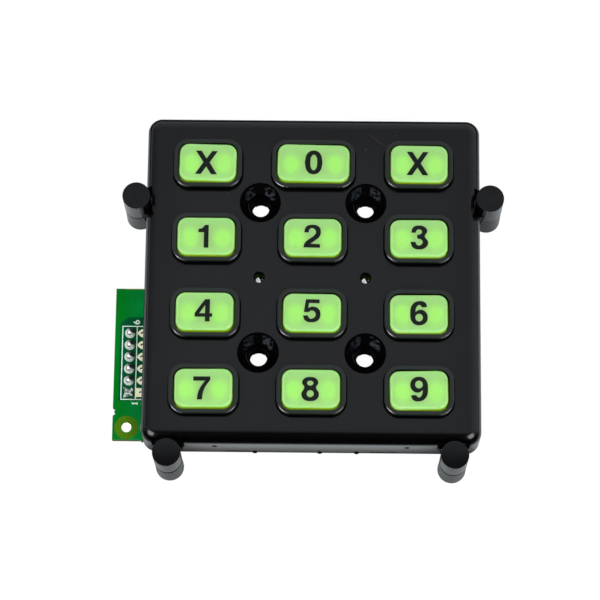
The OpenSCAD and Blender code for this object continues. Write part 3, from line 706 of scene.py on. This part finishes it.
def solder_shine():
    """Bright solder with painted highlights towards the tab's edge and a painted dark reflection on the
    side away from it.
    """
    f = Finish("solder", 0.14, metallic=1.0, emission_strength=1.0)
    x, y, _ = f.xyz()
    u, v = terminal_field(x, y)
    cloud = f.noise(3.0, 3.0)
    base = f.shades(cloud, (0.82, 0.83, 0.84), (1.0, 1.0, 1.0))
    # The joint at the first terminal is a star
    star = y.rise(TERMINAL_LAST + 1.6, TERMINAL_LAST + 1.4)
    # A painted dark reflection of the keypad on each dome's side away from the tab's edge
    away = (u * 0.9 + v * 0.45 + cloud * 0.3).rise(0.12, 0.42) * v.rise(-0.35, -0.05) * (1 - star)
    # Painted shade in a ring where the solder has sunk round the terminal
    ring = abs(f.length(u, v + 0.1) - 0.52 + cloud * 0.2 - 0.1).rise(0.16, 0.06) * u.rise(0.5, -0.1)
    # Painted highlights on each dome's side towards the tab's edge
    lit = (cloud * 0.8 + 0.25 - u * 0.3 - v * 0.3).rise(0.35, 0.9) * (1 - ring * 0.8) * (1 - away)
    # The star is crumpled, and its facets get painted highlights and painted shade
    facet = (f.noise(1.7, 2.0) - u * 0.08 - v * 0.08).rise(0.46, 0.56)
    lit = lit * (1 - star) + star * facet * 1.3
    away = away.over(star * (1 - facet) * 0.8)
    ring = ring * (1 - star)
    f.set("Base Color", f.mix((away * 0.96).over(ring * 0.55), base, (0.015, 0.017, 0.015)))
    f.set("Emission Color", f.mix(lit, BLACK, (0.42, 0.44, 0.43)))
    f.set("Roughness", 0.3 + cloud * 0.1)
    f.bump(f.noise(1.6, 2.0), 0.02, 0.5)
    return f.material


# Modelling helpers

def only(obj):
    bpy.ops.object.select_all(action="DESELECT")
    obj.select_set(True)
    bpy.context.view_layer.objects.active = obj


def pick(obj, kind, wanted):
    """Enters edit mode with only the wanted vertices or faces selected."""
    if obj.mode == "EDIT":
        bpy.ops.object.mode_set(mode="OBJECT")
    only(obj)
    bpy.ops.object.mode_set(mode="EDIT")
    bpy.ops.mesh.select_mode(type=kind)
    bpy.ops.mesh.select_all(action="DESELECT")
    bpy.ops.object.mode_set(mode="OBJECT")
    for part in obj.data.vertices if kind == "VERT" else obj.data.polygons:
        part.select = wanted(part)
    bpy.ops.object.mode_set(mode="EDIT")


def put(obj, x_mm, y_mm, z_mm):
    obj.location = (x_mm * MM, y_mm * MM, z_mm * MM)


def settle(obj, name, material, body):
    """Names a finished piece, puts its place into its mesh and lets it ride."""
    only(obj)
    bpy.ops.object.transform_apply(location=True, rotation=True, scale=True)
    obj.name = name
    obj.data.name = name
    obj.data.materials.clear()
    obj.data.materials.append(material)
    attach(obj, body)
    return obj


def flat_print(outlines, thick_mm, unit=0.1 * MM):
    """A printed figure: closed outlines filled and given the ink's thickness."""
    curve = bpy.data.curves.new("print", "CURVE")
    curve.dimensions = "2D"
    curve.fill_mode = "BOTH"
    curve.resolution_u = 5
    curve.extrude = thick_mm * MM / 2
    for outline in outlines:
        spline = curve.splines.new("BEZIER")
        spline.bezier_points.add(len(outline) - 1)
        spline.use_cyclic_u = True
        for point, anchor in zip(spline.bezier_points, outline):
            point.co = (anchor[0] * unit, anchor[1] * unit, 0)
            kind = "VECTOR" if len(anchor) > 2 else "AUTO"
            point.handle_left_type = kind
            point.handle_right_type = kind
    obj = bpy.data.objects.new("print", curve)
    bpy.context.scene.collection.objects.link(obj)
    only(obj)
    bpy.ops.object.convert(target="MESH")
    bpy.ops.object.mode_set(mode="EDIT")
    bpy.ops.mesh.select_all(action="SELECT")
    bpy.ops.mesh.remove_doubles(threshold=0.000002)
    bpy.ops.mesh.normals_make_consistent(inside=False)
    bpy.ops.object.mode_set(mode="OBJECT")
    return obj


# Floor, lamps and background

def paper_floor():
    """White sheet: plain white to the camera, and to other light it carries a painted shadow at the
    keypad's foot and turns dark far out."""
    bpy.ops.mesh.primitive_plane_add(size=6, location=(0, 0, FLOOR_Z * MM))
    floor = bpy.context.object
    floor.name = "floor"
    f = Finish("paper", 0.9)
    f.tree.nodes.remove(f.shader)
    x, y, _ = f.xyz()
    # A painted shadow on the sheet at the front wall's foot
    foot = y.rise(WALL_Y - 2, WALL_Y - 1) * y.rise(0.0, -10.0) * abs(x).rise(36.0, 34.0)
    far = f.length(x, y * 2.5).rise(92.0, 150.0)
    sheet = f.mix(far, (0.9, 0.95, 0.97), (0.03, 0.03, 0.03))
    sheet = f.mix(foot * 0.65, sheet, (0.06, 0.06, 0.06))
    paper = f.node("ShaderNodeBsdfDiffuse", None, {"Color": sheet})
    lit = f.node("ShaderNodeBsdfDiffuse", None, {"Color": (0.9, 0.9, 0.9, 1)})
    glow = f.node("ShaderNodeEmission", None, {"Color": (1, 1, 1, 1), "Strength": 1.035})
    seen = f.node("ShaderNodeMixShader", None, {0: 0.95, 1: lit, 2: glow})
    camera_ray = f.node("ShaderNodeLightPath", None, None, "Is Camera Ray")
    whole = f.node("ShaderNodeMixShader", None, {0: camera_ray, 1: paper, 2: seen})
    f.tree.links.new(whole.socket, f.output.inputs[0])
    floor.data.materials.append(f.material)


def room_light():
    """A dim white dome over and behind the keypad, open and dark on the viewer's side."""
    world = bpy.data.worlds.new("room")
    bpy.context.scene.world = world
    world.use_nodes = True
    n = Nodes(world.node_tree)
    x, y, z = n.split(n.node("ShaderNodeTexCoord", output="Generated"))
    dome = y.rise(-0.38, 0.28) * (z + y.over(0.0) * 0.5).rise(-0.1, 0.2)
    horizon = z.rise(0.35, 0.05) * ((x * -0.4).over(0.0) + 0.12)
    dip = y.rise(0.25, 0.33) * y.rise(0.5, 0.4) * 0.09 + x.rise(-0.08, 0.08) * x.rise(0.45, 0.25) * 0.05
    level = dome * (x * 0.17 + y.over(0.0) * 0.22 + horizon + 0.355 - dip) + 0.004
    dim = n.node("ShaderNodeBackground", None, {"Color": (0.95, 0.98, 1.06, 1), "Strength": level})
    white = n.node("ShaderNodeBackground", None, {"Color": (1, 1, 1, 1), "Strength": 1.0})
    camera_ray = n.node("ShaderNodeLightPath", None, None, "Is Camera Ray")
    whole = n.node("ShaderNodeMixShader", None, {0: camera_ray, 1: dim, 2: white})
    out = n.tree.nodes.new("ShaderNodeOutputWorld")
    n.tree.links.new(whole.socket, out.inputs[0])


def lamps():
    """Two soft boxes in front of the keypad, to its left and right."""
    aside, back, up = 0.37, -0.35, 0.615
    for name, side in (("lamp_left", -1), ("lamp_right", 1)):
        place = Vector((side * aside, back, up))
        bpy.ops.object.light_add(type="AREA", location=place)
        lamp = bpy.context.object
        lamp.name = name
        lamp.data.shape = "DISK"
        lamp.data.size = 0.54
        lamp.data.energy = 3.1
        lamp.rotation_euler = (-place).to_track_quat("-Z", "Y").to_euler()
    bpy.context.scene.view_settings.view_transform = "Standard"


# Pieces

def dress_nodes():
    """Gives every solid of the model its finish."""
    post = post_black()
    green = key_green()
    pill = plain("carbon_pill", (0.008, 0.008, 0.008), (0.014, 0.014, 0.014), 0.6, 2.0)
    silicone = plain("silicone", (0.5, 0.54, 0.46), (0.6, 0.63, 0.55), 0.5, 0.5, subsurface_weight=0.4)
    finishes = {
        "front_moulding": moulded_black(),
        "post_cap_left": post,
        "post_cap_right": post,
        "post_cap_lower_left": post,
        "post_cap_lower_right": post,
        "contact_mat": silicone,
        "contact_pads": metal("gold_plate", (0.8, 0.55, 0.22), (0.95, 0.7, 0.32), 0.25),
        "circuit_board": board_green(),
        "key_lights": plain("lamp_lens", (0.72, 0.7, 0.5), (0.85, 0.83, 0.62), 0.2, 1.0),
        "status_lights": lamp_resin(),
        "socket_strip": plain("strip_black", (0.012, 0.012, 0.013), (0.018, 0.018, 0.019), 0.5, 1.0),
        "socket_terminals": metal("tin", (0.55, 0.56, 0.56), (0.72, 0.72, 0.71), 0.28),
        "terminal_solder": metal("solder", (0.6, 0.61, 0.62), (0.8, 0.8, 0.8), 0.16),
        "controller_chip": chip_package(),
        "chip_resistors": chip_part("resistor", (0.012, 0.012, 0.013), (0.02, 0.02, 0.02), (-22.0, 11.95)),
        "chip_capacitors": chip_part("capacitor", (0.3, 0.19, 0.1), (0.4, 0.27, 0.15), (0.0, -26.0)),
        "rear_cover": cover_black(),
        "cover_screws": metal("zinc_plate", (0.5, 0.52, 0.54), (0.66, 0.67, 0.68), 0.3),
    }
    for name in KEYS:
        finishes["key_" + name] = green
        finishes["pill_" + name] = pill
    for name, material in finishes.items():
        slots = nodes[name].material_slots
        if not slots:
            nodes[name].data.materials.append(material)
        for slot in slots:
            slot.material = material


def print_legends():
    """The digit or cross on each cap, turned and shifted with it."""
    ink = legend_ink()
    for name, (_, turn, _, (dx, dy), figure) in KEYS.items():
        x, y = key_place(name)
        obj = flat_print(FIGURES[figure], LEGEND_THICK)
        angle = math.radians(turn)
        c, s = math.cos(angle), math.sin(angle)
        dy += LEGEND_UP
        put(obj, x + c * dx - s * dy, y + s * dx + c * dy, CAP_TOP + PRINT_LIFT)
        obj.rotation_euler = (0, 0, angle)
        settle(obj, "legend_" + name, ink, "key_" + name)


def tab_print():
    """White frame round the terminals and the numbers at the row's ends."""
    silk = silk_white()
    up, low = -8.74, -24.58
    left, mid, right, w = -39.56, -36.47, -PLATE_X - 0.03, 0.2
    frame_lines = [
        [(left, up, C), (right, up, C), (right, up - w, C), (mid + w / 2, up - w, C),
         (mid + w / 2, low + w, C), (right, low + w, C), (right, low, C), (left, low, C)],
        [(left + w, up - w, C), (mid - w / 2, up - w, C), (mid - w / 2, low + w, C),
         (left + w, low + w, C)],
    ]
    # The numbers lie on their backs: the six's bowl is to the right and its tail to the left
    six = [[(-72, 14, C), (-46, 12, C), (-30, -12, C), (-28, 16), (-6, 42), (17, 48), (46, 36), (62, 0),
            (46, -36), (17, -49), (-16, -45), (-46, -26, C), (-74, -6, C)],
           [(4, 14), (17, 20), (30, 14), (35, 0), (26, -18), (12, -21), (0, -12), (-2, 2)]]
    one = [[(-62, 24, C), (-30, 14, C), (40, 13, C), (40, 31, C), (62, 31, C), (62, -31, C), (40, -31, C),
            (40, -14, C), (-18, -15, C), (-34, -27, C), (-62, -4, C)]]
    number_x = -36.55
    prints = (
        ("frame", frame_lines, MM, (0, 0)),
        ("6", six, 0.01 * MM, (number_x, -7.93)),
        ("1", one, 0.01 * MM, (number_x, -25.33)),
    )
    for name, outlines, unit, (x, y) in prints:
        obj = flat_print(outlines, PRINT_THICK, unit)
        put(obj, x, y, BOARD_TOP + PRINT_LIFT)
        settle(obj, "tab_print_" + name, silk, "base")


def tab_breaks():
    """What is left where the tab was broken from its sheet: a ragged notch and a stub."""
    deep, edge, high, low = TAB_X + 0.75, TAB_X + 0.02, -26.2, -28.0
    notch = [(deep, high, C), (edge, high, C), (-40.37, -26.63, C), (-40.8, -27.04, C), (-40.43, -27.49, C),
             (edge, low, C), (deep, low, C)]
    stub = [(-35.25, TAB_LOW + 0.1, C), (-35.1, TAB_LOW - 0.12), (-34.75, TAB_LOW - 0.24),
            (-34.66, TAB_LOW + 0.1, C)]
    obj = flat_print([notch, stub], BOARD_TOP - BOARD_LOW - 0.02, MM)
    put(obj, 0, 0, BOARD_MIDDLE)
    settle(obj, "tab_breaks", nodes["circuit_board"].material_slots[0].material, "base")


def wall_burrs():
    """Three crumbs of flash on the lower edge of the front."""
    outlines = []
    for x in (-11.6, 1.8, 9.4):
        outlines.append([(x - 0.6, WALL_Y + 0.2, C), (x - 0.4, WALL_Y - 0.12), (x + 0.1, WALL_Y - 0.25),
                         (x + 0.5, WALL_Y - 0.1), (x + 0.65, WALL_Y + 0.2, C)])
    obj = flat_print(outlines, 0.5, MM)
    put(obj, 0, 0, -9.6)
    settle(obj, "wall_burrs", nodes["front_moulding"].material_slots[0].material, "base")


def spare_pads():
    """Tinned pads of the spare row: drops with a hole, and a square one at the first terminal."""
    # The pads have a faint painted glow
    cream = plain("tinned_pad", (0.9, 0.88, 0.56), (1.0, 0.98, 0.68), 0.35, 2.0,
                  emission_color=(0.2, 0.2, 0.13, 1.0), emission_strength=1.0)
    hole = [(4.8, -1.2, C), (2.4, -2.6), (0, -3.3), (-3.3, 0), (0, 3.3), (2.4, 2.6), (4.8, 1.2, C)]
    drop = [(4.8, 7.6, C), (0, 8.7), (-6, 5.0), (-10, 0, C), (-6, -5.0), (0, -8.7), (4.8, -7.6, C)]
    square = [(4.8, 9.5, C), (-10.4, 9.5, C), (-10.4, -9.5, C), (4.8, -9.5, C)]
    for i in range(TERMINALS):
        outline = (square if i == TERMINALS - 1 else drop) + hole
        obj = flat_print([outline], PRINT_THICK)
        put(obj, SPARE_X, TERMINAL_TOP - i * TERMINAL_PITCH, BOARD_TOP + PRINT_LIFT)
        settle(obj, "spare_pad_%d" % (TERMINALS - i), cream, "base")


def spare_bores():
    """Tinned bores of the same row."""
    tinned = plain("tinned_bore", (0.3, 0.3, 0.27), (0.42, 0.42, 0.38), 0.4, 2.0)
    outer, inner = SPARE_HOLE_R - 0.01, 0.32
    rings = []
    for i in range(TERMINALS):
        for r in (outer, inner):
            turns = [step * math.pi / 4 for step in range(8)]
            rings.append([(r * math.sin(a), i * TERMINAL_PITCH + r * math.cos(a)) for a in turns])
    obj = flat_print(rings, BOARD_TOP - BOARD_LOW - 0.04, MM)
    put(obj, SPARE_X, TERMINAL_LAST, BOARD_MIDDLE)
    settle(obj, "spare_bores", tinned, "base")


def solder_joints():
    """Five round domes of solder and, at the square pad of the first terminal, a star with four arms."""
    shine = solder_shine()
    made = []
    for i in range(TERMINALS - 1):
        bpy.ops.mesh.primitive_uv_sphere_add(segments=32, ring_count=20, radius=SOLDER_R * MM)
        dome = bpy.context.object
        bpy.ops.object.mode_set(mode="EDIT")
        bpy.ops.mesh.select_all(action="SELECT")
        bpy.ops.mesh.bisect(plane_co=(0, 0, 0), plane_no=(0, 0, 1), use_fill=True, clear_inner=True)
        bpy.ops.transform.resize(value=(1.0 + 0.03 * (i % 2), 1.0, 0.7), center_override=(0, 0, 0))
        # The terminal's end, coated with solder, stands up in the middle
        for reach, lift in ((0.7, 0.12), (0.56, 0.36)):
            pick(dome, "VERT", lambda v: math.hypot(v.co.x, v.co.y) < reach * MM and v.co.z > 0.3 * MM)
            bpy.ops.transform.translate(value=(0, 0, lift * MM))
        bpy.ops.object.mode_set(mode="OBJECT")
        bpy.ops.object.shade_smooth_by_angle(angle=math.radians(80))
        put(dome, TERMINAL_X, TERMINAL_TOP - i * TERMINAL_PITCH, BOARD_TOP)
        made.append(dome)
    made.append(solder_star())
    for obj in made:
        only(obj)
        bpy.ops.object.transform_apply(location=True, rotation=True, scale=True)
    for obj in made:
        obj.select_set(True)
    bpy.context.view_layer.objects.active = made[0]
    bpy.ops.object.join()
    joints = bpy.context.object
    settle(joints, "solder_joints", shine, "base")
    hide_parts("terminal_solder")


def solder_star():
    """Four arms that run up from the pad's corners to the terminal."""
    thick = 0.12
    bpy.ops.mesh.primitive_cylinder_add(vertices=8, radius=1.0 * MM, depth=thick * MM)
    star = bpy.context.object
    for corners, reach in ((True, 1.56), (False, 0.74)):
        pick(star, "VERT", lambda v: (abs(abs(v.co.x) - abs(v.co.y)) < 0.1 * MM) == corners)
        bpy.ops.transform.resize(value=(reach, reach, 1), center_override=(0, 0, 0))
    pick(star, "FACE", lambda face: face.normal.z > 0.9)
    bpy.ops.mesh.extrude_region_move(TRANSFORM_OT_translate={"value": (0, 0, 0.3 * MM)})
    bpy.ops.transform.resize(value=(0.62, 0.62, 1), center_override=(0, 0, 0))
    bpy.ops.mesh.extrude_region_move(TRANSFORM_OT_translate={"value": (0, 0, 0.45 * MM)})
    bpy.ops.transform.resize(value=(0.6, 0.6, 1), center_override=(0, 0, 0))
    bpy.ops.object.mode_set(mode="OBJECT")
    put(star, TERMINAL_X, TERMINAL_LAST, BOARD_TOP + thick / 2)
    return star


place_camera()
paper_floor()
room_light()
lamps()
dress_nodes()
print_legends()
tab_print()
tab_breaks()
wall_burrs()
spare_pads()
spare_bores()
solder_joints()
